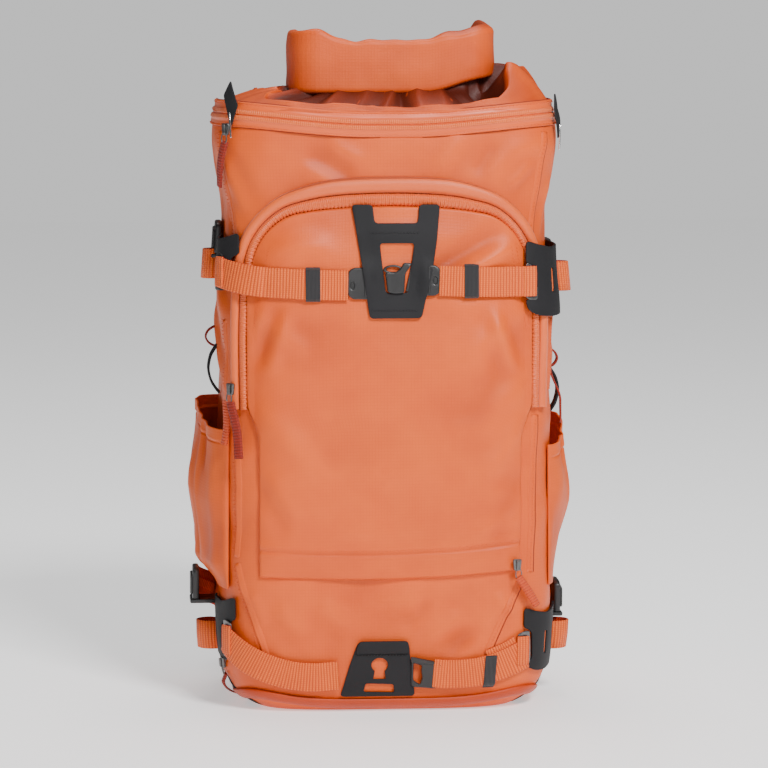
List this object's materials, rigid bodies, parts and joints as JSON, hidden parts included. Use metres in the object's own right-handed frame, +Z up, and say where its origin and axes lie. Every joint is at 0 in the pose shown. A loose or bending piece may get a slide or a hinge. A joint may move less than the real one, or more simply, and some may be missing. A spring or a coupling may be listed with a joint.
{
  "type": "camera backpack",
  "caption": "Roll-top camera backpack with a zipped arched front, open side pockets, tool patches with webbing straps, and a padded harness.",
  "frame": {"origin": "middle of the bottom of the whole bag's box, on the surface that it stands on", "axes": "+Z up, -Y towards the front of the bag, +X to the right of someone who looks at its front"},
  "size_m": [0.3262, 0.2938, 0.5744],
  "materials": {
    "orange_fabric": "coated ripstop nylon, soft sheen",
    "orange_zip": "laminated water-resistant zip tape and rolled edge",
    "orange_webbing": "ribbed nylon webbing",
    "red_tag": "folded webbing pull",
    "black_patch": "coated reinforcement cloth, matt",
    "black_elastic": "woven elastic",
    "black_plastic": "moulded acetal, fine texture",
    "slider_metal": "gunmetal, satin",
    "black_mesh": "padded spacer mesh",
    "black_webbing": "ribbed nylon webbing"
  },
  "bodies": {
    "root": {"main_shell": "orange_fabric", "neck_gather": "orange_fabric", "roll_collar": "orange_fabric", "top_zip_band": "orange_zip", "arch_flap": "orange_zip", "front_panel": "orange_fabric", "base_band": "orange_fabric", "side_pocket_left": "orange_fabric", "side_pocket_right": "orange_fabric", "tool_patch_upper": "black_patch", "tool_patch_lower": "black_patch", "corner_patch_upper_left": "black_patch", "corner_patch_upper_right": "black_patch", "corner_patch_lower_left": "black_patch", "corner_patch_lower_right": "black_patch", "front_strap_upper_left": "orange_webbing", "front_strap_upper_right": "orange_webbing", "front_strap_lower_left": "orange_webbing", "front_strap_lower_right": "orange_webbing", "strap_keeper_upper_left": "black_elastic", "strap_keeper_upper_right": "black_elastic", "strap_keeper_lower_right": "black_elastic", "buckle_plate_upper_left": "black_plastic", "buckle_plate_upper_right": "black_plastic", "buckle_plate_lower_right": "black_plastic", "centre_buckle": "black_plastic", "side_strap_upper_left": "orange_webbing", "side_strap_upper_right": "orange_webbing", "side_strap_lower_left": "orange_webbing", "side_strap_lower_right": "orange_webbing", "side_buckle_upper_left": "black_plastic", "side_buckle_upper_right": "black_plastic", "side_buckle_lower_left": "black_plastic", "side_buckle_lower_right": "black_plastic", "strap_tail_upper_left": "orange_webbing", "strap_tail_upper_right": "orange_webbing", "strap_tail_lower_left": "orange_webbing", "strap_tail_lower_right": "orange_webbing", "gear_loop_left": "orange_webbing", "gear_loop_right": "orange_webbing", "side_handle_left": "black_patch", "side_handle_right": "black_patch", "leaf_tab_left": "black_patch", "leaf_tab_right": "black_patch", "slider_top_left": "slider_metal", "slider_panel_left": "slider_metal", "slider_panel_right": "slider_metal", "slider_base_left": "slider_metal", "zip_tag_top_left": "red_tag", "zip_tag_panel_left_1": "red_tag", "zip_tag_panel_left_2": "red_tag", "zip_tag_panel_right": "red_tag", "zip_tag_base_left": "red_tag", "back_pad": "black_mesh", "hip_belt": "black_mesh", "shoulder_strap_left": "black_mesh", "shoulder_strap_right": "black_mesh", "grab_handle": "black_webbing"}
  },
  "joints": []
}
